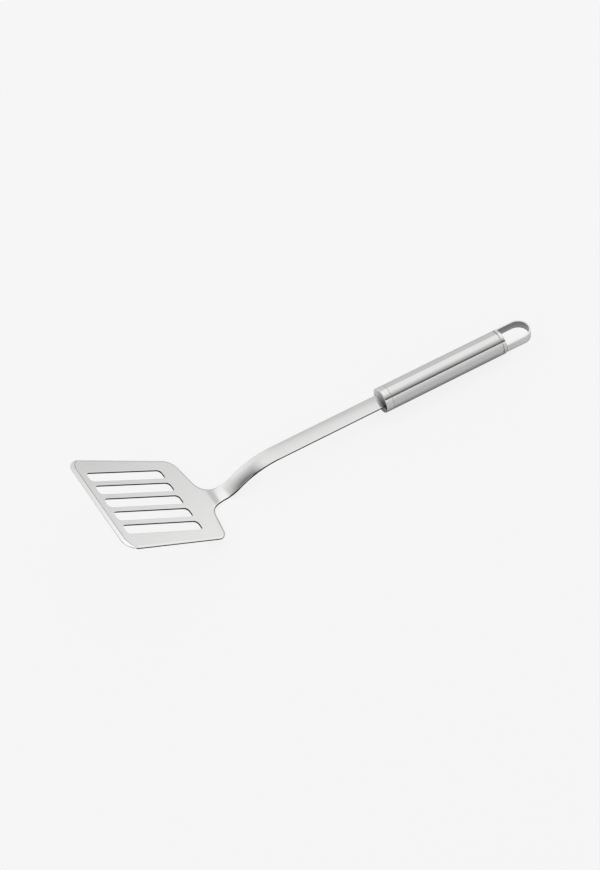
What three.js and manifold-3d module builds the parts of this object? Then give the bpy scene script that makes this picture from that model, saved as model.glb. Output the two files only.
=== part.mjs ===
// Slotted pancake spatula: a pressed blade with its stem, and a round tube handle with a hanging loop.
// Millimetres, +Z up, +X from the blade to the handle. The part lies as it rests on a table.
import * as THREE from 'three';
import { mergeVertices } from 'three/addons/utils/BufferGeometryUtils.js';
import Module from 'manifold-3d';

const wasm = await Module();
wasm.setup();

// Fits
const GAP = 0.3;

// Pressed sheet: blade, neck, stem and tang
const SHEET = 1.2;
const BLADE_LENGTH = 81;
const BLADE_FRONT_WIDTH = 90.8;
const BLADE_REAR_WIDTH = 81;
const FRONT_CORNER_R = 9.5;
const REAR_CORNER_R = 9;
const REAR_EDGE_LEAN = THREE.MathUtils.degToRad(9.7);
const BEVEL_LENGTH = 3.2;
const BEVEL_EDGE = 0.75;
const SLOT_COUNT = 5;
const SLOT_START = 8;
const SLOT_LENGTH = 58.8;
const SLOT_WIDTH = 9.1;
const SLOT_PITCH = 13.3;
const SLOT_CORNER_R = 3;
const STEM_WIDTH = 12.5;
const NECK_FILLET_R = 13;
const NECK_START = 85;
const NECK_BEND_R = 22.2;
const NECK_RISE = THREE.MathUtils.degToRad(63.5);
const STEM_BEND_R = 60.2;
const STEM_ANGLE = THREE.MathUtils.degToRad(31);
const STEM_LENGTH = 82.6;
const TANG_LENGTH = 45.4;

// Handle, with its axis a little below the top of the stem
const HANDLE_DIAMETER = 18;
const TUBE_WALL = 1;
const STEM_ABOVE_AXIS = 0.35;
const CAP_LENGTH = 5.6;
const SPIGOT_LENGTH = 8;
const STEM_SIDE_PLAY = 0.7;
const RIM_CHAMFER = 0.4;
const HANDLE_LENGTH = 94.8;
const GROOVE = 0.5;
const COLLAR_LENGTH = 2.5;

// Hanging loop
const STRAP_THICKNESS = 1.2;
const STRAP_HEIGHT = 6.2;
const STRAP_ABOVE_AXIS = 0.4;
const LOOP_WIDTH = 18;
const LOOP_LENGTH = 23.4;

// Facets
const ROUND_SEGMENTS = 64;
const ARC_SEGMENTS = 14;

const HANDLE_R = HANDLE_DIAMETER / 2;
const SPIGOT_R = HANDLE_R - TUBE_WALL - GAP;

function toSolid(geometry) {
  const bare = new THREE.BufferGeometry();
  bare.setAttribute('position', geometry.getAttribute('position'));
  if (geometry.index) {
    bare.setIndex(geometry.index);
  }
  const merged = mergeVertices(bare, 1e-4);
  const corners = merged.index.array;
  const triangles = [];
  for (let i = 0; i < corners.length; i += 3) {
    const [a, b, c] = corners.slice(i, i + 3);
    if (a !== b && b !== c && c !== a) {
      triangles.push(a, b, c);
    }
  }
  return new wasm.Manifold(new wasm.Mesh({
    numProp: 3,
    vertProperties: new Float32Array(merged.getAttribute('position').array),
    triVerts: new Uint32Array(triangles),
  }));
}

function toGeometry(solid) {
  const mesh = solid.getMesh();
  const geometry = new THREE.BufferGeometry();
  geometry.setAttribute('position', new THREE.BufferAttribute(mesh.vertProperties, 3));
  geometry.setIndex(new THREE.BufferAttribute(mesh.triVerts, 1));
  geometry.computeVertexNormals();
  return geometry;
}

function steel(name, geometry, color, roughness) {
  const material = new THREE.MeshStandardMaterial({ color, roughness, metalness: 1 });
  const mesh = new THREE.Mesh(geometry, material);
  mesh.name = name;
  return mesh;
}

// A point of the sheet's side view: at a slope, on a bend's centre, at a distance along the slope's normal
function onNormal(centre, slope, distance) {
  return new THREE.Vector2(
    centre.x - Math.sin(slope) * distance,
    centre.y + Math.cos(slope) * distance,
  );
}

// Side view of the sheet's top face: flat blade, neck bend up, stem bend back, straight stem
const neckCentre = new THREE.Vector2(NECK_START, NECK_BEND_R);
const bendsMeet = onNormal(neckCentre, NECK_RISE, -NECK_BEND_R);
const stemCentre = onNormal(bendsMeet, NECK_RISE, -STEM_BEND_R);
const stemStart = onNormal(stemCentre, STEM_ANGLE, STEM_BEND_R);
const stemDirection = new THREE.Vector2(Math.cos(STEM_ANGLE), Math.sin(STEM_ANGLE));
const handleFront = stemStart.clone().addScaledVector(stemDirection, STEM_LENGTH);
const tangEnd = stemStart.clone().addScaledVector(stemDirection, STEM_LENGTH + TANG_LENGTH);

function sheetSideView() {
  const quarter = Math.PI / 2;
  const tangEndBelow = onNormal(tangEnd, STEM_ANGLE, -SHEET);
  const stemStartBelow = onNormal(stemCentre, STEM_ANGLE, STEM_BEND_R - SHEET);
  const shape = new THREE.Shape();
  shape.moveTo(0, -SHEET);
  shape.lineTo(NECK_START, -SHEET);
  shape.absarc(neckCentre.x, neckCentre.y, NECK_BEND_R + SHEET, -quarter, NECK_RISE - quarter, false);
  shape.absarc(
    stemCentre.x, stemCentre.y, STEM_BEND_R - SHEET, NECK_RISE + quarter, STEM_ANGLE + quarter, true,
  );
  shape.lineTo(stemStartBelow.x, stemStartBelow.y);
  shape.lineTo(tangEndBelow.x, tangEndBelow.y);
  shape.lineTo(tangEnd.x, tangEnd.y);
  shape.lineTo(stemStart.x, stemStart.y);
  shape.absarc(stemCentre.x, stemCentre.y, STEM_BEND_R, STEM_ANGLE + quarter, NECK_RISE + quarter, false);
  shape.absarc(neckCentre.x, neckCentre.y, NECK_BEND_R, NECK_RISE - quarter, -quarter, true);
  shape.lineTo(BEVEL_LENGTH, 0);
  shape.lineTo(0, BEVEL_EDGE - SHEET);
  shape.closePath();
  return shape;
}

// Rounds the corner of an outline at a point, between the points before and after it
function roundCorner(shape, before, corner, after, radius) {
  const toBefore = before.clone().sub(corner).normalize();
  const toAfter = after.clone().sub(corner).normalize();
  const half = Math.acos(toBefore.dot(toAfter)) / 2;
  const reach = radius / Math.tan(half);
  const middle = toBefore.clone().add(toAfter).normalize();
  const centre = corner.clone().addScaledVector(middle, radius / Math.sin(half));
  const from = corner.clone().addScaledVector(toBefore, reach).sub(centre);
  const to = corner.clone().addScaledVector(toAfter, reach).sub(centre);
  shape.absarc(centre.x, centre.y, radius, from.angle(), to.angle(), from.cross(to) < 0);
}

function slotHole(offset) {
  const x0 = SLOT_START;
  const x1 = SLOT_START + SLOT_LENGTH;
  const y0 = offset - SLOT_WIDTH / 2;
  const y1 = offset + SLOT_WIDTH / 2;
  const r = SLOT_CORNER_R;
  const hole = new THREE.Path();
  hole.moveTo(x0 + r, y0);
  hole.lineTo(x1 - r, y0);
  hole.absarc(x1 - r, y0 + r, r, -Math.PI / 2, 0, false);
  hole.absarc(x1 - r, y1 - r, r, 0, Math.PI / 2, false);
  hole.absarc(x0 + r, y1 - r, r, Math.PI / 2, Math.PI, false);
  hole.absarc(x0 + r, y0 + r, r, Math.PI, Math.PI * 1.5, false);
  hole.closePath();
  return hole;
}

// Plan of the sheet: tapered head with rounded corners, filleted neck, stem and tang of one width
function sheetPlan() {
  const frontHalf = BLADE_FRONT_WIDTH / 2;
  const rearHalf = BLADE_REAR_WIDTH / 2;
  const stemHalf = STEM_WIDTH / 2;
  const neckX = BLADE_LENGTH + (rearHalf - stemHalf) * Math.tan(REAR_EDGE_LEAN);
  const corners = [
    { at: new THREE.Vector2(tangEnd.x + SHEET, -stemHalf), radius: 0 },
    { at: new THREE.Vector2(tangEnd.x + SHEET, stemHalf), radius: 0 },
    { at: new THREE.Vector2(neckX, stemHalf), radius: NECK_FILLET_R },
    { at: new THREE.Vector2(BLADE_LENGTH, rearHalf), radius: REAR_CORNER_R },
    { at: new THREE.Vector2(0, frontHalf), radius: FRONT_CORNER_R },
    { at: new THREE.Vector2(0, -frontHalf), radius: FRONT_CORNER_R },
    { at: new THREE.Vector2(BLADE_LENGTH, -rearHalf), radius: REAR_CORNER_R },
    { at: new THREE.Vector2(neckX, -stemHalf), radius: NECK_FILLET_R },
  ];
  const shape = new THREE.Shape();
  shape.moveTo(corners[0].at.x, corners[0].at.y);
  for (let i = 1; i < corners.length; i += 1) {
    const { at, radius } = corners[i];
    if (radius > 0) {
      roundCorner(shape, corners[i - 1].at, at, corners[(i + 1) % corners.length].at, radius);
    } else {
      shape.lineTo(at.x, at.y);
    }
  }
  shape.closePath();
  for (let i = 0; i < SLOT_COUNT; i += 1) {
    shape.holes.push(slotHole((i - (SLOT_COUNT - 1) / 2) * SLOT_PITCH));
  }
  return shape;
}

// The sheet is what its side view and its plan have in common
function slottedBlade() {
  const wide = Math.max(BLADE_FRONT_WIDTH, BLADE_REAR_WIDTH) + 2 * SHEET;
  const side = new THREE.ExtrudeGeometry(sheetSideView(), {
    depth: wide, bevelEnabled: false, curveSegments: ARC_SEGMENTS,
  });
  side.rotateX(Math.PI / 2);
  side.translate(0, wide / 2, 0);
  const high = tangEnd.y + 4 * SHEET;
  const plan = new THREE.ExtrudeGeometry(sheetPlan(), {
    depth: high, bevelEnabled: false, curveSegments: ARC_SEGMENTS / 2,
  });
  plan.translate(0, 0, -2 * SHEET);
  return toGeometry(toSolid(side).intersect(toSolid(plan)));
}

// Turned pieces are drawn as radius and distance along the axis, then laid along +X
function turned(profile) {
  const points = profile.map(([radius, along]) => new THREE.Vector2(radius, along));
  const geometry = new THREE.LatheGeometry(points, ROUND_SEGMENTS);
  geometry.rotateZ(-Math.PI / 2);
  return geometry;
}

function frontCap() {
  const length = CAP_LENGTH + SPIGOT_LENGTH;
  const body = turned([
    [0, 0],
    [HANDLE_R - RIM_CHAMFER, 0],
    [HANDLE_R, RIM_CHAMFER],
    [HANDLE_R, CAP_LENGTH],
    [SPIGOT_R, CAP_LENGTH],
    [SPIGOT_R, length],
    [0, length],
  ]);
  const slot = new THREE.BoxGeometry(length + 2 * GAP, STEM_WIDTH + 2 * STEM_SIDE_PLAY, SHEET + 2 * GAP);
  slot.translate(length / 2, 0, STEM_ABOVE_AXIS - SHEET / 2);
  return toGeometry(toSolid(body).subtract(toSolid(slot)));
}

const tubeStart = CAP_LENGTH + GAP;
const tubeEnd = HANDLE_LENGTH - GROOVE / 2;
const collarStart = HANDLE_LENGTH + GROOVE / 2;
const collarEnd = collarStart + COLLAR_LENGTH;

function handleTube() {
  const bore = HANDLE_R - TUBE_WALL;
  const tube = turned([
    [bore, tubeStart],
    [HANDLE_R, tubeStart],
    [HANDLE_R, tubeEnd],
    [bore, tubeEnd],
    [bore, tubeStart],
  ]);
  return toGeometry(toSolid(tube));
}

function endCap() {
  const body = turned([
    [0, collarStart - SPIGOT_LENGTH],
    [SPIGOT_R, collarStart - SPIGOT_LENGTH],
    [SPIGOT_R, collarStart],
    [HANDLE_R, collarStart],
    [HANDLE_R, collarEnd - RIM_CHAMFER],
    [HANDLE_R - RIM_CHAMFER, collarEnd],
    [0, collarEnd],
  ]);
  return toGeometry(toSolid(body));
}

function hangingLoop() {
  const outer = LOOP_WIDTH / 2;
  const inner = outer - STRAP_THICKNESS;
  const start = collarEnd + GAP;
  const bend = collarEnd + LOOP_LENGTH - outer;
  const shape = new THREE.Shape();
  shape.moveTo(start, -outer);
  shape.lineTo(bend, -outer);
  shape.absarc(bend, 0, outer, -Math.PI / 2, Math.PI / 2, false);
  shape.lineTo(start, outer);
  shape.lineTo(start, inner);
  shape.absarc(bend, 0, inner, Math.PI / 2, -Math.PI / 2, true);
  shape.lineTo(start, -inner);
  shape.closePath();
  const strap = new THREE.ExtrudeGeometry(shape, {
    depth: STRAP_HEIGHT, bevelEnabled: false, curveSegments: 2 * ARC_SEGMENTS,
  });
  strap.translate(0, 0, STRAP_ABOVE_AXIS - STRAP_HEIGHT / 2);
  return toGeometry(toSolid(strap));
}

// The handle's frame lies on the stem: +X along its axis, +Z square to the stem
const axisFront = onNormal(handleFront, STEM_ANGLE, -STEM_ABOVE_AXIS);
const handle = new THREE.Group();
handle.name = 'handle';
handle.position.set(axisFront.x, 0, axisFront.y);
handle.rotation.y = -STEM_ANGLE;
handle.add(steel('front_cap', frontCap(), 0xc4c5c4, 0.3));
handle.add(steel('handle_tube', handleTube(), 0xc8c9c8, 0.3));
handle.add(steel('end_cap', endCap(), 0xc4c5c4, 0.3));
handle.add(steel('hanging_loop', hangingLoop(), 0xbfc0bf, 0.3));

// At rest the part stands on the underside of the neck bend and on the collar's rear rim
const collarFoot = onNormal(
  axisFront.clone().addScaledVector(stemDirection, collarEnd - RIM_CHAMFER), STEM_ANGLE, -HANDLE_R,
);
const reach = collarFoot.sub(neckCentre);
const restTilt = reach.angle() + Math.asin((NECK_BEND_R + SHEET) / reach.length());

const tool = new THREE.Group();
tool.name = 'tool';
tool.add(steel('slotted_blade', slottedBlade(), 0xcdcecd, 0.32));
tool.add(handle);
tool.rotation.y = restTilt;
tool.updateMatrixWorld(true);
const box = new THREE.Box3().setFromObject(tool, true);
const middle = box.getCenter(new THREE.Vector3());
tool.position.set(-middle.x, 0, -box.min.z);

const spatula = new THREE.Group();
spatula.name = 'pancake_spatula';
spatula.add(tool);
spatula.updateMatrixWorld(true);

export default spatula;
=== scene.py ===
"""Looks of the slotted pancake spatula, in metres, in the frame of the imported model."""

import math

import bmesh
import bpy
from mathutils import Matrix, Vector
from mathutils.geometry import delaunay_2d_cdt


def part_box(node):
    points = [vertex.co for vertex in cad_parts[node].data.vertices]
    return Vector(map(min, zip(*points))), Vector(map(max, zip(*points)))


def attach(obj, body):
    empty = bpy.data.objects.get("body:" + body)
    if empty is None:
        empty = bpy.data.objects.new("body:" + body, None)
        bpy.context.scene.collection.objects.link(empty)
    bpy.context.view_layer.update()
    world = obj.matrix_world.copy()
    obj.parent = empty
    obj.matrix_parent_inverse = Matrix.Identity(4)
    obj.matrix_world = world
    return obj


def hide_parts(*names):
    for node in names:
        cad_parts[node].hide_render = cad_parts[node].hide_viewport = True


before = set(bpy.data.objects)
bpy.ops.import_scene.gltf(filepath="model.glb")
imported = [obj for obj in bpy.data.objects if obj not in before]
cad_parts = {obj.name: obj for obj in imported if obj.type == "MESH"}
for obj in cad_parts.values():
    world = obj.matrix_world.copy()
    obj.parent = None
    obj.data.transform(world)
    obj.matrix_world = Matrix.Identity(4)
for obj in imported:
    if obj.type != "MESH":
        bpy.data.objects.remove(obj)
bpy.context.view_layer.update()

# Pressed sheet
# The head, the S-bent neck, the stem and the hidden tang are one stamped sheet of satin stainless steel.
# The slots are punched, the front edge is ground to a slope, and all edges are broken to a small round.
# The sheet is made flat first, then bent along its side view, then laid as it rests on the table.
SHEET = 0.0012
BLADE_LENGTH = 0.081
FRONT_HALF = 0.0454
REAR_HALF = 0.0405
FRONT_CORNER_R = 0.0095
REAR_CORNER_R = 0.009
REAR_EDGE_LEAN = math.radians(9.7)
NECK_START = 0.085
NECK_BEND_R = 0.0222
NECK_RISE = math.radians(63.5)
NECK_FILLET_R = 0.013
STEM_BEND_R = 0.0602
STEM_ANGLE = math.radians(31)
STEM_LENGTH = 0.0826
STEM_HALF = 0.00625
TANG_LENGTH = 0.0454


def on_normal(centre, slope, distance):
    """A point of the side view, at a distance from a centre along the normal of a slope."""
    return Vector((centre.x - math.sin(slope) * distance, centre.y + math.cos(slope) * distance))


neck_centre = Vector((NECK_START, NECK_BEND_R))
bends_meet = on_normal(neck_centre, NECK_RISE, -NECK_BEND_R)
stem_centre = on_normal(bends_meet, NECK_RISE, -STEM_BEND_R)
stem_start = on_normal(stem_centre, STEM_ANGLE, STEM_BEND_R)
stem_direction = Vector((math.cos(STEM_ANGLE), math.sin(STEM_ANGLE)))
handle_front = stem_start + stem_direction * STEM_LENGTH
tang_end = handle_front + stem_direction * TANG_LENGTH


def side_view(x):
    """Height and slope of the top face, and the run along it, at a plan distance from the front edge."""
    if x <= NECK_START:
        return 0.0, 0.0, x
    if x <= bends_meet.x:
        slope = math.asin((x - NECK_START) / NECK_BEND_R)
        return NECK_BEND_R * (1 - math.cos(slope)), slope, NECK_START + NECK_BEND_R * slope
    run = NECK_START + NECK_BEND_R * NECK_RISE
    if x <= stem_start.x:
        slope = math.asin((stem_centre.x - x) / STEM_BEND_R)
        height = stem_centre.y + STEM_BEND_R * math.cos(slope)
        return height, slope, run + STEM_BEND_R * (NECK_RISE - slope)
    run += STEM_BEND_R * (NECK_RISE - STEM_ANGLE)
    straight = (x - stem_start.x) / math.cos(STEM_ANGLE)
    return stem_start.y + straight * math.sin(STEM_ANGLE), STEM_ANGLE, run + straight


neck_x = BLADE_LENGTH + (REAR_HALF - STEM_HALF) * math.tan(REAR_EDGE_LEAN)
fillet_reach = NECK_FILLET_R * math.tan((math.pi / 2 - REAR_EDGE_LEAN) / 2)
fillet_centre = Vector((neck_x + fillet_reach, STEM_HALF + NECK_FILLET_R))


def half_width(x):
    """Half the sheet's width behind the head."""
    if x >= fillet_centre.x:
        return STEM_HALF
    return fillet_centre.y - math.sqrt(max(0.0, NECK_FILLET_R**2 - (fillet_centre.x - x) ** 2))


def steps_between(start, stop, step):
    """Even steps from a start to a stop, both included, of about the given size."""
    count = max(1, round(abs(stop - start) / step))
    return [start + (stop - start) * k / count for k in range(count + 1)]


FILLET_STEP = 0.12
BEND_STEP = math.radians(2.5)
STEM_STEP = 0.01
LEAST_STEP = 0.00025
TANG_MARGIN = 0.001


def strip_rows():
    """Plan distances of the cross rows from the end of the head to just before the tang's end."""
    fillet_angles = steps_between(REAR_EDGE_LEAN, math.pi / 2, FILLET_STEP)
    fillet = [fillet_centre.x - NECK_FILLET_R * math.cos(a) for a in fillet_angles]
    neck_angles = steps_between(BEND_STEP, NECK_RISE, BEND_STEP)
    neck = [NECK_START + NECK_BEND_R * math.sin(a) for a in neck_angles]
    bend_angles = steps_between(NECK_RISE, STEM_ANGLE, BEND_STEP)
    bend = [stem_centre.x - STEM_BEND_R * math.sin(a) for a in bend_angles]
    stem = steps_between(stem_start.x, tang_end.x - TANG_MARGIN, STEM_STEP)
    rows = fillet[:1]
    for x in sorted(fillet[1:] + neck + bend + stem):
        if x - rows[-1] > LEAST_STEP:
            rows.append(x)
    return rows


CORNER_STEPS = 12


def round_corner(before, corner, after, radius):
    """Points of the arc that rounds a corner which turns left."""
    to_before = (before - corner).normalized()
    to_after = (after - corner).normalized()
    half = to_before.angle(to_after) / 2
    centre = corner + (to_before + to_after).normalized() * radius / math.sin(half)
    arm = corner + to_before * radius / math.tan(half) - centre
    step = (math.pi - 2 * half) / CORNER_STEPS
    return [centre + Matrix.Rotation(step * k, 2) @ arm for k in range(CORNER_STEPS + 1)]


def smooth(value, start, stop):
    """A smooth step from 0 at a start to 1 at a stop, in either direction."""
    t = min(1.0, max(0.0, (value - start) / (stop - start)))
    return t * t * (3 - 2 * t)


# Each point of the outline has its place, the width of the ground slope and the width of the rolled edge
EDGE_ROUND = 0.00014
HEAD_ROLL = 0.0018
STEM_ROLL = 0.0006
GROUND_WIDTH = 0.0032
GROUND_FADE = (-0.1, 0.75)
LEAST_GROUND = 4 * EDGE_ROUND
STEM_COLUMNS = 14
rows = strip_rows()
columns = [2 * k / STEM_COLUMNS - 1 for k in range(STEM_COLUMNS + 1)]
neck_corner = Vector((neck_x, STEM_HALF))
rear_corner = Vector((BLADE_LENGTH, REAR_HALF))
front_corner = Vector((0.0, FRONT_HALF))
rear_arc = round_corner(neck_corner, rear_corner, front_corner, REAR_CORNER_R)
front_arc = round_corner(rear_corner, front_corner, Vector((0.0, -FRONT_HALF)), FRONT_CORNER_R)
far_head = [(point, 0.0, HEAD_ROLL) for point in rear_arc]
for k, point in enumerate(front_arc):
    ground = GROUND_WIDTH * smooth(k / CORNER_STEPS, *GROUND_FADE)
    far_head.append((point, ground if ground > LEAST_GROUND else 0.0, HEAD_ROLL))
end_edge = [(Vector((tang_end.x, STEM_HALF * c)), 0.0, STEM_ROLL) for c in columns]
far_strip = []
for x in reversed(rows):
    roll = HEAD_ROLL + (STEM_ROLL - HEAD_ROLL) * smooth(x, rows[0], bends_meet.x)
    far_strip.append((Vector((x, half_width(x))), 0.0, roll))
far_edge = far_strip + far_head
near_edge = [(Vector((p.x, -p.y)), ground, roll) for p, ground, roll in reversed(far_edge)]
outline = end_edge + far_edge + near_edge

GROUND_EDGE = 0.00075
EDGE_SOFT = 0.00015
CREASE_SOFT = 0.00028
ROLL_FALL = 0.25
ROLL_ANGLES = [math.radians(a) for a in (0, 16, 32, 48, 62, 76, 90)]
LIP_STEP = math.pi / 6


def edge_profile(ground, roll):
    """Inset and depth of the rings of an edge, from the top face round to the bottom face."""
    fall = (SHEET - GROUND_EDGE) / GROUND_WIDTH
    lip = [
        (EDGE_ROUND * (1 - math.sin(a)), EDGE_ROUND * (1 - math.cos(a)))
        for a in steps_between(0.0, math.pi / 2, LIP_STEP)
    ]
    if ground > 0:
        slope = [(ground - CREASE_SOFT, 0.0), (EDGE_ROUND + EDGE_SOFT, 0.0)] + lip
        top = [(ground + CREASE_SOFT, 0.0), (ground, 0.0)]
        top += [(inset, depth + fall * max(0.0, ground - inset)) for inset, depth in slope]
    else:
        top = [(roll + EDGE_SOFT, 0.0)]
        for a in ROLL_ANGLES:
            top.append((roll * (1 - math.sin(a)), roll * ROLL_FALL * (1 - math.cos(a))))
    bottom = [(inset, SHEET - depth) for inset, depth in reversed(lip)]
    return top + bottom + [(EDGE_ROUND + EDGE_SOFT, SHEET)]


# Bands of faces between the rings of an edge, counted from the top, and the finish that each band takes
SATIN, CUT, GROUND, LINE = range(4)
# The line band at the crease of the ground slope takes a painted dark line, which is painted shade
LINE_BAND = 1
GROUND_BANDS = range(2, 9)
# The cut bands take the near-black edge colour, partly the rough sheared finish and partly painted shade;
# on the neck they reach further up the rolled edge
CUT_BANDS = range(6, 10)
NECK_CUT_BANDS = range(4, 10)
CUT_BELOW_WIDTH = 0.8 * GROUND_WIDTH


def edge_rings(bm, loop):
    """Rings of vertices round an edge. The steel is to the left of the loop of points."""
    rings = [[] for _ in edge_profile(0.0, 0.0)]
    for i, (point, ground, roll) in enumerate(loop):
        back = (point - loop[i - 1][0]).normalized()
        ahead = (loop[(i + 1) % len(loop)][0] - point).normalized()
        normals = Vector((-back.y, back.x)), Vector((-ahead.y, ahead.x))
        inward = (normals[0] + normals[1]) / (1 + normals[0].dot(normals[1]))
        for ring, (inset, depth) in zip(rings, edge_profile(ground, roll)):
            place = point + inward * inset
            ring.append(bm.verts.new((place.x, place.y, -depth)))
    for band in range(len(rings) - 1):
        upper, lower = rings[band], rings[band + 1]
        for i in range(len(loop)):
            j = (i + 1) % len(loop)
            face = bm.faces.new((upper[i], lower[i], lower[j], upper[j]))
            ground = min(loop[i][1], loop[j][1])
            on_neck = NECK_START < loop[i][0].x < stem_start.x
            cut_bands = NECK_CUT_BANDS if on_neck else CUT_BANDS
            if ground > 0 and band in GROUND_BANDS:
                face.material_index = GROUND
            elif ground > 0 and band == LINE_BAND:
                face.material_index = LINE
            elif ground < CUT_BELOW_WIDTH and band in cut_bands:
                face.material_index = CUT
    return rings


def plain_object(name, bm, materials=()):
    """A linked object of a finished mesh, with its materials."""
    mesh = bpy.data.meshes.new(name)
    bm.to_mesh(mesh)
    bm.free()
    for material in materials:
        mesh.materials.append(material)
    obj = bpy.data.objects.new(name, mesh)
    bpy.context.scene.collection.objects.link(obj)
    return obj


def node_tree(name, inputs):
    """An empty geometry tree with named inputs, and its nodes for input and output."""
    tree = bpy.data.node_groups.new(name, "GeometryNodeTree")
    tree.interface.new_socket("Geometry", in_out="INPUT", socket_type="NodeSocketGeometry")
    for label, kind in inputs:
        tree.interface.new_socket(label, in_out="INPUT", socket_type=kind)
    tree.interface.new_socket("Geometry", in_out="OUTPUT", socket_type="NodeSocketGeometry")
    return tree, tree.nodes.new("NodeGroupInput"), tree.nodes.new("NodeGroupOutput")


def end_in_steel(tree, geometry, given, result):
    """Ends a geometry tree: makes its instances real and gives them the steel."""
    real = tree.nodes.new("GeometryNodeRealizeInstances")
    tree.links.new(geometry, real.inputs["Geometry"])
    finish = tree.nodes.new("GeometryNodeSetMaterial")
    tree.links.new(real.outputs["Geometry"], finish.inputs["Geometry"])
    tree.links.new(given.outputs["Steel"], finish.inputs["Material"])
    tree.links.new(finish.outputs["Geometry"], result.inputs["Geometry"])
    return tree


def apply_tree(obj, tree, values):
    """Runs a geometry tree on an object and keeps its result as the object's plain mesh."""
    modifier = obj.modifiers.new(tree.name, "NODES")
    modifier.node_group = tree
    for item in tree.interface.items_tree:
        if item.in_out == "INPUT" and item.name in values:
            modifier[item.identifier] = values[item.name]
    depsgraph = bpy.context.evaluated_depsgraph_get()
    mesh = bpy.data.meshes.new_from_object(obj.evaluated_get(depsgraph))
    obj.modifiers.remove(modifier)
    obj.data = mesh


def slot_row_tree():
    """Repeats one slot's edge across the head, with the middle of the row on the head's middle line."""
    tree, given, result = node_tree("slot_row", [
        ("Count", "NodeSocketInt"), ("Pitch", "NodeSocketFloat"), ("Steel", "NodeSocketMaterial"),
    ])
    link = tree.links.new
    step = tree.nodes.new("ShaderNodeCombineXYZ")
    link(given.outputs["Pitch"], step.inputs["Y"])
    gaps = tree.nodes.new("ShaderNodeMath")
    gaps.operation = "SUBTRACT"
    gaps.inputs[1].default_value = 1
    link(given.outputs["Count"], gaps.inputs[0])
    reach = tree.nodes.new("ShaderNodeVectorMath")
    reach.operation = "SCALE"
    link(step.outputs["Vector"], reach.inputs[0])
    link(gaps.outputs["Value"], reach.inputs["Scale"])
    first = tree.nodes.new("ShaderNodeVectorMath")
    first.operation = "SCALE"
    first.inputs["Scale"].default_value = -0.5
    link(reach.outputs["Vector"], first.inputs[0])
    line = tree.nodes.new("GeometryNodeMeshLine")
    link(given.outputs["Count"], line.inputs["Count"])
    link(first.outputs["Vector"], line.inputs["Start Location"])
    link(step.outputs["Vector"], line.inputs["Offset"])
    place = tree.nodes.new("GeometryNodeInstanceOnPoints")
    link(line.outputs["Mesh"], place.inputs["Points"])
    link(given.outputs["Geometry"], place.inputs["Instance"])
    return end_in_steel(tree, place.outputs["Instances"], given, result)


def feed(tree, value, socket):
    """Gives a socket a value, which is a number or another socket."""
    if isinstance(value, (int, float)):
        socket.default_value = value
    else:
        tree.links.new(value, socket)


def worked(tree, operation, one, two):
    """The result of an operation on two values, each a number or a socket."""
    node = tree.nodes.new("ShaderNodeMath")
    node.operation = operation
    feed(tree, one, node.inputs[0])
    feed(tree, two, node.inputs[1])
    return node.outputs["Value"]


def ramp(tree, value, start, stop, low=0.0, high=1.0, kind="SMOOTHSTEP"):
    """A change of a value, from low at a start to high at a stop, in either direction."""
    if start > stop:
        start, stop, low, high = stop, start, high, low
    change = tree.nodes.new("ShaderNodeMapRange")
    change.interpolation_type = kind
    change.inputs["From Min"].default_value = start
    change.inputs["From Max"].default_value = stop
    change.inputs["To Min"].default_value = low
    change.inputs["To Max"].default_value = high
    tree.links.new(value, change.inputs["Value"])
    return change.outputs["Result"]


def own_place(tree, uv=None):
    """A piece's own coordinates: those of a UV map, or else its Object coordinates."""
    if uv is None:
        return tree.nodes.new("ShaderNodeTexCoord").outputs["Object"]
    place = tree.nodes.new("ShaderNodeUVMap")
    place.uv_map = uv
    return place.outputs["UV"]


def parts_of(tree, place):
    """The x, y and z of a place."""
    split = tree.nodes.new("ShaderNodeSeparateXYZ")
    tree.links.new(place, split.inputs["Vector"])
    return split.outputs["X"], split.outputs["Y"], split.outputs["Z"]


GRAIN_DETAIL = 3.0
GRAIN_SHARE = 0.6
GRAIN_LOW = 0.3
GRAIN_HIGH = 0.7
GRAIN_RELIEF = 0.000002
RELIEF_STRENGTH = 0.5
HAZE_STRETCH = (60, 60, 60)
COLOUR_SPREAD = 0.03
ROUGHNESS_SPREAD = 0.12
QUARTER_TURN = 0.25


def grain(tree, place, stretch):
    """Fine grain, stretched along one direction of a place: a noise between 0 and 1."""
    stretched = tree.nodes.new("ShaderNodeMapping")
    stretched.inputs["Scale"].default_value = stretch
    tree.links.new(place, stretched.inputs["Vector"])
    noise = tree.nodes.new("ShaderNodeTexNoise")
    noise.inputs["Scale"].default_value = 1.0
    noise.inputs["Detail"].default_value = GRAIN_DETAIL
    tree.links.new(stretched.outputs["Vector"], noise.inputs["Vector"])
    return noise.outputs["Fac"]


def brushing(tree, uv, turned_about):
    """The direction of the brushing, from a UV map or round an axis."""
    tangent = tree.nodes.new("ShaderNodeTangent")
    if uv:
        tangent.direction_type = "UV_MAP"
        tangent.uv_map = uv
    else:
        tangent.direction_type = "RADIAL"
        tangent.axis = turned_about
    return tangent.outputs["Tangent"]


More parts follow.
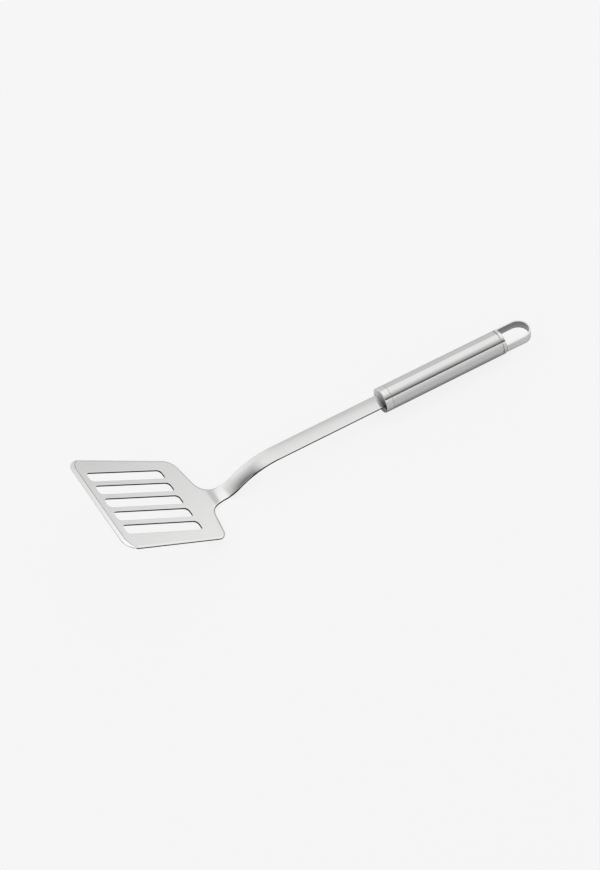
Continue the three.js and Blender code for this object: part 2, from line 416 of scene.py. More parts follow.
def steel(name, colour, roughness, stretch, uv=None, turned_about=None, anisotropy=0.0):
    """Steel with its grain stretched along its own coordinates, and faint handling haze."""
    material = bpy.data.materials.new(name)
    material.use_nodes = True
    tree = material.node_tree
    link = tree.links.new
    shader = tree.nodes["Principled BSDF"]
    shader.inputs["Metallic"].default_value = 1.0
    if anisotropy:
        shader.inputs["Anisotropic"].default_value = anisotropy
        shader.inputs["Anisotropic Rotation"].default_value = QUARTER_TURN
        link(brushing(tree, uv, turned_about), shader.inputs["Tangent"])
    fine = grain(tree, own_place(tree, uv), stretch)
    haze = grain(tree, own_place(tree), HAZE_STRETCH)
    fine_share = worked(tree, "MULTIPLY", fine, GRAIN_SHARE)
    haze_share = worked(tree, "MULTIPLY", haze, 1 - GRAIN_SHARE)
    wear = worked(tree, "ADD", fine_share, haze_share)
    shade = tree.nodes.new("ShaderNodeMix")
    shade.data_type = "RGBA"
    shade.inputs["A"].default_value = tuple(c * (1 - COLOUR_SPREAD) for c in colour) + (1,)
    shade.inputs["B"].default_value = tuple(min(1.0, c * (1 + COLOUR_SPREAD)) for c in colour) + (1,)
    link(ramp(tree, wear, GRAIN_LOW, GRAIN_HIGH, kind="LINEAR"), shade.inputs["Factor"])
    link(shade.outputs["Result"], shader.inputs["Base Color"])
    smoothest, roughest = roughness * (1 - ROUGHNESS_SPREAD), roughness * (1 + ROUGHNESS_SPREAD)
    worn = ramp(tree, wear, GRAIN_LOW, GRAIN_HIGH, smoothest, roughest, "LINEAR")
    link(worn, shader.inputs["Roughness"])
    bump = tree.nodes.new("ShaderNodeBump")
    bump.inputs["Strength"].default_value = RELIEF_STRENGTH
    bump.inputs["Distance"].default_value = GRAIN_RELIEF
    link(fine, bump.inputs["Height"])
    link(bump.outputs["Normal"], shader.inputs["Normal"])
    return material


def tinted(tree, factor):
    """Multiplies a steel's colour by a value from its own tree."""
    tint = tree.nodes.new("ShaderNodeMix")
    tint.data_type = "RGBA"
    tint.blend_type = "MULTIPLY"
    tint.inputs["Factor"].default_value = 1.0
    colour = tree.nodes["Principled BSDF"].inputs["Base Color"]
    tree.links.new(colour.links[0].from_socket, tint.inputs["A"])
    tree.links.new(factor, tint.inputs["B"])
    tree.links.new(tint.outputs["Result"], colour)


# The sheet's colour is painted brighter over a short stretch of the run along the neck's hollow: a painted
# highlight
RUN_MAP = "along"
HOLLOW_HIGHLIGHT = 1.18
HOLLOW_START = 0.0945
HOLLOW_START_FADE = 0.001
HOLLOW_END = 0.1085
HOLLOW_END_FADE = 0.006
satin_sheet = steel(
    "satin_sheet", (0.78, 0.78, 0.775), roughness=0.14,
    stretch=(90, 6000, 1), uv=RUN_MAP, anisotropy=0.4,
)
# Cut faces: near black, partly the rough sheared finish and partly painted shade for the dark that the
# edges mirror
sheared_edge_and_shade = steel("sheared_edge_and_shade", (0.02, 0.02, 0.02), roughness=0.5, stretch=(2500, 2500, 300))
ground_edge = steel(
    "ground_edge", (0.95, 0.95, 0.945), roughness=0.12, stretch=(6000, 90, 1), uv=RUN_MAP,
)
# Painted shade: a near-black line along the crease of the ground slope
crease_painted_shade = steel(
    "crease_painted_shade", (0.04, 0.04, 0.04), roughness=0.4, stretch=(6000, 90, 1), uv=RUN_MAP,
)
tree = satin_sheet.node_tree
run, _, _ = parts_of(tree, own_place(tree, RUN_MAP))
tinted(tree, ramp(tree, run, HOLLOW_START - HOLLOW_START_FADE, HOLLOW_START, 1.0, HOLLOW_HIGHLIGHT))
tinted(tree, ramp(tree, run, HOLLOW_END - HOLLOW_END_FADE, HOLLOW_END, 1.0, 1.0 / HOLLOW_HIGHLIGHT))

SLOT_COUNT = 5
SLOT_START = 0.008
SLOT_LENGTH = 0.0588
SLOT_WIDTH = 0.0091
SLOT_PITCH = 0.0133
SLOT_CORNER_R = 0.003
SLOT_ROLL = 0.0003
SLOT_WALL_TILT = 0.8
slot_corners = [
    Vector((SLOT_START, -SLOT_WIDTH / 2)),
    Vector((SLOT_START + SLOT_LENGTH, -SLOT_WIDTH / 2)),
    Vector((SLOT_START + SLOT_LENGTH, SLOT_WIDTH / 2)),
    Vector((SLOT_START, SLOT_WIDTH / 2)),
]
slot_points = []
for k, corner in enumerate(slot_corners):
    following = slot_corners[(k + 1) % len(slot_corners)]
    slot_points += round_corner(slot_corners[k - 1], corner, following, SLOT_CORNER_R)
slot_loop = [(point, 0.0, SLOT_ROLL) for point in reversed(slot_points)]
slot_edge = bmesh.new()
slot_ring_count = len(edge_rings(slot_edge, slot_loop))
slot_row = plain_object("slot_edge", slot_edge)
apply_tree(slot_row, slot_row_tree(), {"Count": SLOT_COUNT, "Pitch": SLOT_PITCH, "Steel": satin_sheet})

sheet = bmesh.new()
sheet_rings = edge_rings(sheet, outline)
slot_verts = [sheet.verts.new(v.co) for v in slot_row.data.vertices]
for polygon in slot_row.data.polygons:
    face = sheet.faces.new([slot_verts[i] for i in polygon.vertices])
    face.material_index = CUT if abs(polygon.normal.z) < SLOT_WALL_TILT else SATIN
bpy.data.objects.remove(slot_row)
per_slot = len(slot_verts) // SLOT_COUNT


def slot_ring(slot, ring):
    """Vertices of one ring of one slot, in order round it."""
    start = slot * per_slot + ring
    return [slot_verts[start + i * slot_ring_count] for i in range(len(slot_loop))]


INSIDE_WITH_HOLES = 2
FILL_PRECISION = 1e-9


def fill_between(bm, loops, flatten):
    """Fills a flat face with triangles, between its outer loop of vertices and the loops of its holes."""
    verts = [v for loop in loops for v in loop]
    order, start = [], 0
    for loop in loops:
        order.append(list(range(start, start + len(loop))))
        start += len(loop)
    flat = [Vector(flatten(v.co)) for v in verts]
    filled = delaunay_2d_cdt(flat, [], order, INSIDE_WITH_HOLES, FILL_PRECISION)
    _, _, triangles, origin, _, _ = filled
    for triangle in triangles:
        bm.faces.new([verts[origin[i][0]] for i in triangle])


def fill_side(ring, slot_side):
    """One face of the sheet: a grid over neck, stem and tang, and a fill between the slots of the head."""
    end = sheet_rings[ring][:len(end_edge)]
    far = sheet_rings[ring][len(end_edge):len(end_edge) + len(rows)]
    near = sheet_rings[ring][:-len(rows) - 1:-1]
    grid = [end]
    for a, b in zip(near, far):
        inner = [sheet.verts.new(a.co.lerp(b.co, (c + 1) / 2)) for c in columns[1:-1]]
        grid.append([a] + inner + [b])
    for one, two in zip(grid, grid[1:]):
        for k in range(STEM_COLUMNS):
            sheet.faces.new((one[k], one[k + 1], two[k + 1], two[k]))
    head = sheet_rings[ring][len(end_edge) + len(rows):-len(rows)]
    slots = [slot_ring(slot, slot_side) for slot in range(SLOT_COUNT)]
    fill_between(sheet, [grid[-1] + head] + slots, lambda co: (co.x, co.y))


SHEET_MERGE = 1e-8
fill_side(0, 0)
fill_side(len(sheet_rings) - 1, slot_ring_count - 1)
bmesh.ops.remove_doubles(sheet, verts=sheet.verts, dist=SHEET_MERGE)
bmesh.ops.recalc_face_normals(sheet, faces=sheet.faces)
along = sheet.loops.layers.uv.new(RUN_MAP)
for face in sheet.faces:
    for corner in face.loops:
        corner[along].uv = (side_view(corner.vert.co.x)[2], corner.vert.co.y)

# The bends draw a slight crown across the sheet, highest where they meet. It fades out along the tang
STEM_CROWN = 0.00022
NECK_CROWN = 0.00078
CROWN_GROWTH = 0.004
RISE_BEFORE_MEET = 0.004
RISE_PAST_MEET = 0.0025
FALL_FROM_MEET = 0.001
FALL_PAST_MEET = 0.021
crown_rise = bends_meet.x - RISE_BEFORE_MEET, bends_meet.x + RISE_PAST_MEET
crown_fall = bends_meet.x + FALL_PAST_MEET, bends_meet.x + FALL_FROM_MEET
for vert in sheet.verts:
    x, y, depth = vert.co.x, vert.co.y, -vert.co.z
    risen = smooth(x, *crown_rise) * smooth(x, *crown_fall)
    crown = STEM_CROWN + (NECK_CROWN - STEM_CROWN) * risen
    crown *= smooth(x, rows[0], fillet_centre.x + CROWN_GROWTH) * smooth(x, tang_end.x, handle_front.x)
    depth -= crown * (1 - (y / half_width(x)) ** 2)
    height, slope, _ = side_view(x)
    vert.co = (x + depth * math.sin(slope), y, height - depth * math.cos(slope))

# At rest the part stands on the underside of the neck bend and on the rear rim of the handle's collar
HANDLE_R = 0.009
HANDLE_LENGTH = 0.0948
STEM_ABOVE_AXIS = 0.00035
GROOVE = 0.0005
COLLAR_LENGTH = 0.0025
RIM_CHAMFER = 0.0004
collar_start = HANDLE_LENGTH + GROOVE / 2
collar_end = collar_start + COLLAR_LENGTH
axis_front = on_normal(handle_front, STEM_ANGLE, -STEM_ABOVE_AXIS)
rim_on_axis = axis_front + stem_direction * (collar_end - RIM_CHAMFER)
foot = on_normal(rim_on_axis, STEM_ANGLE, -HANDLE_R) - neck_centre
rest_tilt = math.atan2(foot.y, foot.x) + math.asin((NECK_BEND_R + SHEET) / foot.length)
turn_to_rest = Matrix.Rotation(rest_tilt, 4, "Y")
neck_low = (turn_to_rest @ Vector((neck_centre.x, 0, neck_centre.y))).z - NECK_BEND_R - SHEET
front_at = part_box("slotted_blade")[0].x + SHEET * math.sin(rest_tilt)
to_row = Matrix.Translation((front_at, 0, -neck_low)) @ turn_to_rest
bmesh.ops.transform(sheet, matrix=to_row, verts=sheet.verts)

SHARP_ANGLE = math.radians(40)


def smooth_shaded(obj):
    """Shades a piece smooth, apart from its sharp edges."""
    obj.data.polygons.foreach_set("use_smooth", [True] * len(obj.data.polygons))
    obj.data.set_sharp_from_angle(angle=SHARP_ANGLE)


blade = plain_object("slotted_blade_sheet", sheet, (satin_sheet, sheared_edge_and_shade, ground_edge, crease_painted_shade))
smooth_shaded(blade)
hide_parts("slotted_blade")
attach(blade, "root")

# Front cap
# A turned plug of the same steel closes the handle's front, with a flat face and a slot for the stem.
# Its collar is flush with the tube and its spigot is pressed into it; a fine ring seam shows between them.
# The face is painted darker round the stem's near side: near-black painted shade close by, a grey painted
# reflection of the stem further out, and a lighter painted shade below the stem.
CAP_LENGTH = 0.0056
SPIGOT_LENGTH = 0.008
TUBE_WALL = 0.001
FIT = 0.0003
SEAM_ROUND = 0.00008
STEM_PLAY = 0.00015
STEM_SIDE_PLAY = 0.0007
ROUND_SIDES = 128
TURNED_MERGE = 1e-6
SOFT_CORNER_STEP = math.pi / 8
spigot_r = HANDLE_R - TUBE_WALL - FIT
handle_to_row = (
    to_row
    @ Matrix.Translation((axis_front.x, 0, axis_front.y))
    @ Matrix.Rotation(-STEM_ANGLE, 4, "Y")
)


def turned_tree():
    """Sweeps a profile round the handle's axis. The profile is drawn from the outer radius inwards."""
    tree, given, result = node_tree("turned", [
        ("Radius", "NodeSocketFloat"), ("Sides", "NodeSocketInt"), ("Steel", "NodeSocketMaterial"),
    ])
    link = tree.links.new
    circle = tree.nodes.new("GeometryNodeCurvePrimitiveCircle")
    link(given.outputs["Sides"], circle.inputs["Resolution"])
    link(given.outputs["Radius"], circle.inputs["Radius"])
    upright = tree.nodes.new("GeometryNodeSetCurveNormal")
    upright.mode = "Z_UP"
    link(circle.outputs["Curve"], upright.inputs["Curve"])
    profile = tree.nodes.new("GeometryNodeMeshToCurve")
    link(given.outputs["Geometry"], profile.inputs["Mesh"])
    sweep = tree.nodes.new("GeometryNodeCurveToMesh")
    link(upright.outputs["Curve"], sweep.inputs["Curve"])
    link(profile.outputs["Curve"], sweep.inputs["Profile Curve"])
    closed = tree.nodes.new("GeometryNodeMergeByDistance")
    closed.inputs["Distance"].default_value = TURNED_MERGE
    link(sweep.outputs["Mesh"], closed.inputs["Geometry"])
    return end_in_steel(tree, closed.outputs["Geometry"], given, result)


turned = turned_tree()


def turned_piece(name, profile, material, closed=False):
    """A piece turned from a profile of radius and distance along the axis, laid along +X at the origin."""
    bm = bmesh.new()
    verts = [bm.verts.new((radius - HANDLE_R, distance, 0)) for radius, distance in profile]
    for one, two in zip(verts, verts[1:] + verts[:1] if closed else verts[1:]):
        bm.edges.new((one, two))
    obj = plain_object(name, bm)
    apply_tree(obj, turned, {"Radius": HANDLE_R, "Sides": ROUND_SIDES, "Steel": material})
    obj.data.transform(Matrix.Rotation(-math.pi / 2, 4, "Y"))
    return obj


IN, BACK, AHEAD = (-1, 0), (0, 1), (0, -1)


def soft_corner(corner, arm_in, arm_out, radius):
    """Profile points round a square corner. The arms point away from it, along its two sides."""
    corner, arm_in, arm_out = Vector(corner), Vector(arm_in), Vector(arm_out)
    centre = corner + (arm_in + arm_out) * radius
    points = [corner + arm_in * (radius + EDGE_SOFT)]
    for a in steps_between(0.0, math.pi / 2, SOFT_CORNER_STEP):
        points.append(centre - arm_out * radius * math.cos(a) - arm_in * radius * math.sin(a))
    points.append(corner + arm_out * (radius + EDGE_SOFT))
    return [tuple(point) for point in points]


def closed_up(obj):
    """Recalculates a closed piece's normals outwards, lays it in the handle's place and shades it."""
    bm = bmesh.new()
    bm.from_mesh(obj.data)
    bmesh.ops.recalc_face_normals(bm, faces=bm.faces)
    bmesh.ops.transform(bm, matrix=handle_to_row, verts=bm.verts)
    bm.to_mesh(obj.data)
    bm.free()
    smooth_shaded(obj)


def distance_from(tree, place):
    """Distance from a place, in a piece's Object coordinates."""
    far = tree.nodes.new("ShaderNodeVectorMath")
    far.operation = "DISTANCE"
    far.inputs[1].default_value = place
    tree.links.new(own_place(tree), far.inputs[0])
    return far.outputs["Value"]


# Painted shade and a painted reflection on the cap's face, set by the distance from the stem's near corner
# and by the height below the stem
FACE_SHADE_BLACK = 0.03
FACE_SHADE_BLACK_FROM = 0.0025
FACE_SHADE_BLACK_TO = 0.009
FACE_REFLECTION_GREY = 0.45
FACE_REFLECTION_GREY_FROM = 0.0085
FACE_REFLECTION_GREY_TO = 0.0125
BELOW_STEM_SHADE = 0.68
BELOW_SHADE_START = 0.0009
BELOW_SHADE_END = 0.0004
polished_rim = steel(
    "polished_rim", (0.82, 0.82, 0.815), roughness=0.09,
    stretch=(9000, 60, 60), turned_about="X", anisotropy=0.4,
)
faced_end_painted_dark = steel("faced_end_painted_dark", (0.85, 0.85, 0.845), roughness=0.1, stretch=(300, 300, 300))
tree = faced_end_painted_dark.node_tree
from_stem_corner = distance_from(tree, handle_to_row @ Vector((0, -STEM_HALF, 0)))
painted_corner_shade = ramp(tree, from_stem_corner, FACE_SHADE_BLACK_FROM, FACE_SHADE_BLACK_TO, FACE_SHADE_BLACK, 1.0)
painted_stem_reflection = ramp(tree, from_stem_corner, FACE_REFLECTION_GREY_FROM, FACE_REFLECTION_GREY_TO, FACE_REFLECTION_GREY, 1.0)
painted_face_shade = worked(tree, "MULTIPLY", painted_corner_shade, painted_stem_reflection)
stem_under = (handle_to_row @ Vector((0, 0, STEM_ABOVE_AXIS - SHEET))).z
_, _, face_height = parts_of(tree, own_place(tree))
painted_shade_below = ramp(
    tree, face_height, stem_under - BELOW_SHADE_START, stem_under - BELOW_SHADE_END, BELOW_STEM_SHADE, 0.0,
)
tinted(tree, worked(tree, "MAXIMUM", painted_face_shade, painted_shade_below))

FACED = 1
spigot_end = CAP_LENGTH + SPIGOT_LENGTH
cap_profile = [
    *soft_corner((HANDLE_R, 0), IN, BACK, RIM_CHAMFER),
    *soft_corner((HANDLE_R, CAP_LENGTH), AHEAD, IN, SEAM_ROUND),
    (spigot_r, CAP_LENGTH),
    (spigot_r, spigot_end),
]
front_cap = turned_piece("front_cap_turned", cap_profile, polished_rim)
cap = bmesh.new()
cap.from_mesh(front_cap.data)
turned_verts = list(cap.verts)
slot_top = STEM_ABOVE_AXIS + STEM_CROWN + STEM_PLAY
slot_bottom = STEM_ABOVE_AXIS - SHEET - STEM_PLAY
slot_half = STEM_HALF + STEM_SIDE_PLAY
mouth = [
    (-slot_half, slot_bottom),
    (slot_half, slot_bottom),
    (slot_half, slot_top),
    (-slot_half, slot_top),
]
slot_mouths = []
for row, distance in ((0, 0.0), (len(cap_profile) - 1, spigot_end)):
    rim = turned_verts[row::len(cap_profile)]
    hole = [cap.verts.new((distance, y, z)) for y, z in mouth]
    fill_between(cap, [rim, hole], lambda co: (co.y, co.z))
    slot_mouths.append(hole)
front_mouth, rear_mouth = slot_mouths
for k in range(len(mouth)):
    j = (k + 1) % len(mouth)
    cap.faces.new((front_mouth[k], front_mouth[j], rear_mouth[j], rear_mouth[k]))
front_cap.data.materials.append(faced_end_painted_dark)
for face in cap.faces:
    if max(abs(vert.co.x) for vert in face.verts) < EDGE_SOFT:
        face.material_index = FACED
cap.to_mesh(front_cap.data)
cap.free()
closed_up(front_cap)
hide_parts("front_cap")
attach(front_cap, "root")

# Handle tube
# A plain round steel tube, brushed round its girth on a lathe, so that light draws streaks down its length.
# It sits on the spigots of the two caps, with broken edges at both ends.
SEAM = 0.00012
tube_start = CAP_LENGTH + SEAM
tube_end = HANDLE_LENGTH - GROOVE / 2
turned_steel = steel(
    "turned_steel", (0.78, 0.78, 0.775), roughness=0.135,
    stretch=(9000, 60, 60), turned_about="X", anisotropy=0.5,
)
tube = turned_piece("handle_tube_turned", [
    *soft_corner((HANDLE_R, tube_start), IN, BACK, SEAM_ROUND),
    *soft_corner((HANDLE_R, tube_end), AHEAD, IN, SEAM_ROUND),
    (HANDLE_R - TUBE_WALL, tube_end),
    (HANDLE_R - TUBE_WALL, tube_start),
], turned_steel, closed=True)
closed_up(tube)
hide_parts("handle_tube")
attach(tube, "root")

# End cap
# A short turned collar of polished steel closes the handle's rear, behind a narrow groove.
# Its spigot is pressed into the tube, and its rear rim is rounded, because the part stands on it at rest.
end_cap = turned_piece("end_cap_turned", [
    (0, collar_start - SPIGOT_LENGTH),
    (spigot_r, collar_start - SPIGOT_LENGTH),
    (spigot_r, collar_start),
    *soft_corner((HANDLE_R, collar_start), IN, BACK, SEAM_ROUND),
    *soft_corner((HANDLE_R, collar_end), AHEAD, IN, RIM_CHAMFER),
    (0, collar_end),
], polished_rim)
closed_up(end_cap)
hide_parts("end_cap")
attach(end_cap, "root")

# Hanging loop
# A flat steel strip on edge, bent to a U and welded by its two ends to the end cap's rear face.
# Outside it is brushed bright, with painted shade along its lower edge; inside the bend it is a duller mill
# finish, painted darker still, most towards the top, as painted shade.
STRAP_THICKNESS = 0.0012
STRAP_HEIGHT = 0.0062
STRAP_ABOVE_AXIS = 0.0004
STRAP_ROUND = 0.00012
STRAP_CUTS = 8
STRAP_ROUND_POINTS = 3
STRAP_MERGE = 1e-7
LOOP_WIDTH = 0.018
LOOP_LENGTH = 0.0234
LOOP_LEAD = 0.0004
LOOP_STEPS = 40


def strap_tree():
    """Sweeps a strip with broken edges along the loop's path."""
    tree, given, result = node_tree("strap", [
        ("Thickness", "NodeSocketFloat"), ("Height", "NodeSocketFloat"),
        ("Edge Round", "NodeSocketFloat"), ("Steel", "NodeSocketMaterial"),
    ])
    link = tree.links.new
    path = tree.nodes.new("GeometryNodeMeshToCurve")
    link(given.outputs["Geometry"], path.inputs["Mesh"])
    upright = tree.nodes.new("GeometryNodeSetCurveNormal")
    upright.mode = "Z_UP"
    link(path.outputs["Curve"], upright.inputs["Curve"])
    section = tree.nodes.new("GeometryNodeCurvePrimitiveQuadrilateral")
    link(given.outputs["Thickness"], section.inputs["Width"])
    link(given.outputs["Height"], section.inputs["Height"])
    parted = tree.nodes.new("GeometryNodeSubdivideCurve")
    parted.inputs["Cuts"].default_value = STRAP_CUTS
    link(section.outputs["Curve"], parted.inputs["Curve"])
    broken = tree.nodes.new("GeometryNodeFilletCurve")
    broken.mode = "POLY"
    broken.inputs["Count"].default_value = STRAP_ROUND_POINTS
    link(parted.outputs["Curve"], broken.inputs["Curve"])
    link(given.outputs["Edge Round"], broken.inputs["Radius"])
    sweep = tree.nodes.new("GeometryNodeCurveToMesh")
    sweep.inputs["Fill Caps"].default_value = True
    link(upright.outputs["Curve"], sweep.inputs["Curve"])
    link(broken.outputs["Curve"], sweep.inputs["Profile Curve"])
    return end_in_steel(tree, sweep.outputs["Mesh"], given, result)


# Painted shade on the loop: the outside darkens along its lower edge, and the inside darkens towards its
# top
LOW_EDGE = 0.0011
LOW_EDGE_SHADE = 0.25
INSIDE_SHADE = 0.65
loop_r = (LOOP_WIDTH - STRAP_THICKNESS) / 2
loop_bend = collar_end + LOOP_LENGTH - LOOP_WIDTH / 2
strap_middle = (handle_to_row @ Vector((loop_bend, 0, STRAP_ABOVE_AXIS))).z
strap_low = strap_middle - STRAP_HEIGHT / 2
strap_high = strap_middle + STRAP_HEIGHT / 2
strap_steel = steel("strap_steel", (0.93, 0.93, 0.925), roughness=0.18, stretch=(300, 300, 6000))
# Painted shade along the strip's lower edge
tree = strap_steel.node_tree
_, _, height = parts_of(tree, own_place(tree))
tinted(tree, ramp(tree, height, strap_low, strap_low + LOW_EDGE, LOW_EDGE_SHADE, 1.0))
# Inside the bend: partly the duller mill finish and partly painted shade, darker towards the strip's top
strap_inside = steel("strap_inside", (0.6, 0.6, 0.595), roughness=0.22, stretch=(300, 300, 3000))
tree = strap_inside.node_tree
_, _, height = parts_of(tree, own_place(tree))
tinted(tree, ramp(tree, height, strap_low, strap_high, 1.0, INSIDE_SHADE))

INSIDE = 1
FACES_INWARDS = 0.9
path_points = [(collar_end, -loop_r), (collar_end + LOOP_LEAD, -loop_r)]
for a in steps_between(-math.pi / 2, math.pi / 2, math.pi / LOOP_STEPS):
    path_points.append((loop_bend + loop_r * math.cos(a), loop_r * math.sin(a)))
path_points += [(collar_end + LOOP_LEAD, loop_r), (collar_end, loop_r)]
loop_path = bmesh.new()
path_verts = [loop_path.verts.new((x, y, STRAP_ABOVE_AXIS)) for x, y in path_points]
for one, two in zip(path_verts, path_verts[1:]):
    loop_path.edges.new((one, two))
hanging_loop = plain_object("hanging_loop_strap", loop_path)
apply_tree(hanging_loop, strap_tree(), {
    "Thickness": STRAP_THICKNESS, "Height": STRAP_HEIGHT, "Edge Round": STRAP_ROUND, "Steel": strap_steel,
})
hanging_loop.data.materials.append(strap_inside)
strap = bmesh.new()
strap.from_mesh(hanging_loop.data)
bmesh.ops.remove_doubles(strap, verts=strap.verts, dist=STRAP_MERGE)
bmesh.ops.recalc_face_normals(strap, faces=strap.faces)
for face in strap.faces:
    centre = face.calc_center_median()
    inwards = Vector((min(centre.x, loop_bend), 0, centre.z)) - centre
    if face.normal.dot(inwards.normalized()) > FACES_INWARDS:
        face.material_index = INSIDE
strap.to_mesh(hanging_loop.data)
strap.free()
closed_up(hanging_loop)
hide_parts("hanging_loop")
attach(hanging_loop, "root")

# Floor and light
# A pale plain floor in a pale studio, and a large soft panel overhead that lights the part and its shadow.
# The panel fades to dark towards the front and the left, which draws the dark streaks on the bright steel.
# The walls differ in brightness where the steel mirrors them, and give one plain level of light otherwise.
FLOOR_HALF = 6.0
FLOOR_PAINT = 0.7
FLOOR_SHINE = 0.96
CAMERA_GLOW = 0.9
GLOSSY_GLOW = 0.08
CONTACT_REACH = 0.012


def stage_plane(name, corners, height):
    """A flat stage piece at a height, with its corners in order round it."""
    bm = bmesh.new()
    bm.faces.new([bm.verts.new((x, y, height)) for x, y in corners])
    obj = plain_object(name, bm)
    return obj


def bare_material(name):
    """A material with no shader yet, its tree, and the socket that takes its surface."""
    material = bpy.data.materials.new(name)
    material.use_nodes = True
    tree = material.node_tree
    tree.nodes.remove(tree.nodes["Principled BSDF"])
    return material, tree, tree.nodes["Material Output"].inputs["Surface"]


floor = stage_plane("floor", [
    (-FLOOR_HALF, -FLOOR_HALF),
    (FLOOR_HALF, -FLOOR_HALF),
    (FLOOR_HALF, FLOOR_HALF),
    (-FLOOR_HALF, FLOOR_HALF),
], 0.0)
floor_paint, tree, surface = bare_material("floor_paint")
# Ambient occlusion darkens the floor's paint close to the part: a painted contact shadow on top of the real
# one, which the steel mirrors
matte = tree.nodes.new("ShaderNodeBsdfDiffuse")
painted_contact_shadow = tree.nodes.new("ShaderNodeAmbientOcclusion")
painted_contact_shadow.inputs["Distance"].default_value = CONTACT_REACH
painted_contact_shadow.inputs["Color"].default_value = (FLOOR_PAINT, FLOOR_PAINT, FLOOR_PAINT, 1)
tree.links.new(painted_contact_shadow.outputs["Color"], matte.inputs["Color"])
glow = tree.nodes.new("ShaderNodeEmission")
glow.inputs["Strength"].default_value = FLOOR_SHINE
rays = tree.nodes.new("ShaderNodeLightPath")
camera_share = worked(tree, "MULTIPLY", rays.outputs["Is Camera Ray"], CAMERA_GLOW)
glossy_share = worked(tree, "MULTIPLY", rays.outputs["Is Glossy Ray"], GLOSSY_GLOW)
both = tree.nodes.new("ShaderNodeMixShader")
tree.links.new(worked(tree, "ADD", camera_share, glossy_share), both.inputs["Fac"])
tree.links.new(matte.outputs["BSDF"], both.inputs[1])
tree.links.new(glow.outputs["Emission"], both.inputs[2])
tree.links.new(both.outputs["Shader"], surface)
floor.data.materials.append(floor_paint)

# A span of the panel is two places along x, y or their slant, between which its brightness changes
PANEL_HEIGHT = 2.0
PANEL_SLANT = 0.6
PANEL_LEFT = 0.12
PANEL_LEFT_SPAN = (-1.1, 0.1)
PANEL_NEAR = 0.03
PANEL_NEAR_SPAN = (-2.56, -0.06)
PANEL_FAR = 0.82
PANEL_FAR_SPAN = (1.0, 2.5)
PANEL_SIDE_SPAN = (-0.7, 0.1)
PANEL_SIDE_NEAR = 0.12
PANEL_SIDE_FAR = 0.82
PANEL_SIDE_RUN = (0.0, 2.0)
PANEL_CORNERS = [
    (-0.8, -3.04),
    (5.2, -3.04),
    (5.2, 1.7),
    (1.0, 1.7),
    (0.8, 2.0),
    (0.0, 2.0),
    (-0.6, 1.86),
    (-0.66, 1.6),
    (-0.8, 0.8),
]


def mixed(tree, share, one, two):
    """A mix of two values, each a number or a socket."""
    mix = tree.nodes.new("ShaderNodeMix")
    tree.links.new(share, mix.inputs["Factor"])
    feed(tree, one, mix.inputs["A"])
    feed(tree, two, mix.inputs["B"])
    return mix.outputs["Result"]


panel = stage_plane("overhead_panel", PANEL_CORNERS, PANEL_HEIGHT)
panel_light, tree, surface = bare_material("panel_light")
x, y, _ = parts_of(tree, own_place(tree))
slant = worked(tree, "ADD", x, worked(tree, "MULTIPLY", y, PANEL_SLANT))
side = ramp(tree, y, *PANEL_SIDE_RUN, PANEL_SIDE_NEAR, PANEL_SIDE_FAR, "LINEAR")
bright = ramp(tree, slant, *PANEL_LEFT_SPAN, PANEL_LEFT, 1.0)
for fade in (
    ramp(tree, y, *PANEL_NEAR_SPAN, PANEL_NEAR, 1.0, "LINEAR"),
    ramp(tree, y, *PANEL_FAR_SPAN, 1.0, PANEL_FAR),
    mixed(tree, ramp(tree, x, *PANEL_SIDE_SPAN), side, 1.0),
):
    bright = worked(tree, "MULTIPLY", bright, fade)
shine = tree.nodes.new("ShaderNodeEmission")
tree.links.new(bright, shine.inputs["Strength"])
tree.links.new(shine.outputs["Emission"], surface)
panel.data.materials.append(panel_light)
panel.visible_camera = False

# A span of the walls is two values of x, y or z of the direction in which they are seen
PALE = 0.93
PLAIN_LIGHT = 1.0
LOW_CARD = 0.38
LOW_CARD_X = (0.3, 0.5)
LOW_CARD_Y = (0.67, 0.59)
LOW_CARD_Z = (0.52, 0.46)
FAR_WALL = 0.68
FAR_LEFT = 0.26
FAR_LEFT_X = (0.3, 0.12)
NEAR_WALL_LOW = 0.68
NEAR_WALL_HIGH = 0.95
NEAR_WALL_Z = (0.15, 0.6)
NEAR_TO_FAR_Y = (-0.3, 0.3)
LEFT_WALL_NEAR = 0.1
LEFT_WALL_FAR = 1.0
LEFT_WALL_Y = (0.2, 0.82)
LEFT_SIDE_X = (-0.1, -0.22)
LEFT_SIDE_Y = (-0.1, 0.1)
studio = bpy.data.worlds.new("studio")
bpy.context.scene.world = studio
studio.use_nodes = True
tree = studio.node_tree
x, y, z = parts_of(tree, tree.nodes.new("ShaderNodeTexCoord").outputs["Generated"])
low_card = ramp(tree, x, *LOW_CARD_X, 0.0, LOW_CARD)
low_card = worked(tree, "MULTIPLY", low_card, ramp(tree, y, *LOW_CARD_Y))
low_card = worked(tree, "MULTIPLY", low_card, ramp(tree, z, *LOW_CARD_Z))
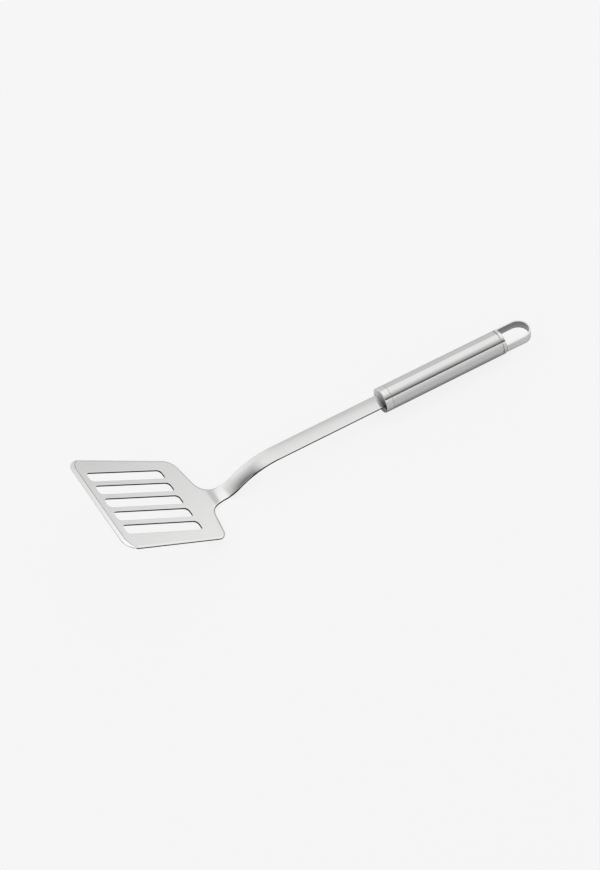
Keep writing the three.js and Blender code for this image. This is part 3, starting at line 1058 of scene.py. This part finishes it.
far_wall = worked(tree, "ADD", ramp(tree, x, *FAR_LEFT_X, 0.0, FAR_LEFT), FAR_WALL)
far_wall = worked(tree, "ADD", low_card, far_wall)
near_wall = ramp(tree, z, *NEAR_WALL_Z, NEAR_WALL_LOW, NEAR_WALL_HIGH)
left_wall = ramp(tree, y, *LEFT_WALL_Y, LEFT_WALL_NEAR, LEFT_WALL_FAR, "LINEAR")
left_side = worked(tree, "MULTIPLY", ramp(tree, x, *LEFT_SIDE_X), ramp(tree, y, *LEFT_SIDE_Y))
walls = mixed(tree, ramp(tree, y, *NEAR_TO_FAR_Y), near_wall, far_wall)
walls = mixed(tree, left_side, walls, left_wall)
rays = tree.nodes.new("ShaderNodeLightPath")
lit = mixed(tree, rays.outputs["Is Glossy Ray"], PLAIN_LIGHT, walls)
shown = mixed(tree, rays.outputs["Is Camera Ray"], lit, PALE)
background = tree.nodes["Background"]
background.inputs["Color"].default_value = (1, 1, 1, 1)
tree.links.new(shown, background.inputs["Strength"])

# Camera
# A long lens at the photograph's angle, above the front of the blade.
# It is rolled so that the handle rises to the right.
CAMERA_AT = Vector((-0.3911, -0.8930, 1.0991))
CAMERA_RIGHT = Vector((0.8602, -0.4972, -0.1134)).normalized()
CAMERA_AHEAD = Vector((0.2574, 0.6153, -0.7451)).normalized()
FOCAL_PIXELS = 2166.8
IMAGE_HEIGHT = 870
SENSOR_WIDTH = 36.0
CLIP_END = 30.0
lens = bpy.data.cameras.new("photo_camera")
lens.sensor_width = SENSOR_WIDTH
lens.lens = FOCAL_PIXELS * SENSOR_WIDTH / IMAGE_HEIGHT
lens.clip_end = CLIP_END
camera = bpy.data.objects.new("photo_camera", lens)
camera_up = CAMERA_RIGHT.cross(CAMERA_AHEAD)
turn = Matrix((CAMERA_RIGHT, camera_up, -CAMERA_AHEAD)).transposed().to_4x4()
camera.matrix_world = Matrix.Translation(CAMERA_AT) @ turn
bpy.context.scene.collection.objects.link(camera)
bpy.context.scene.camera = camera
bpy.context.scene.view_settings.view_transform = "Standard"
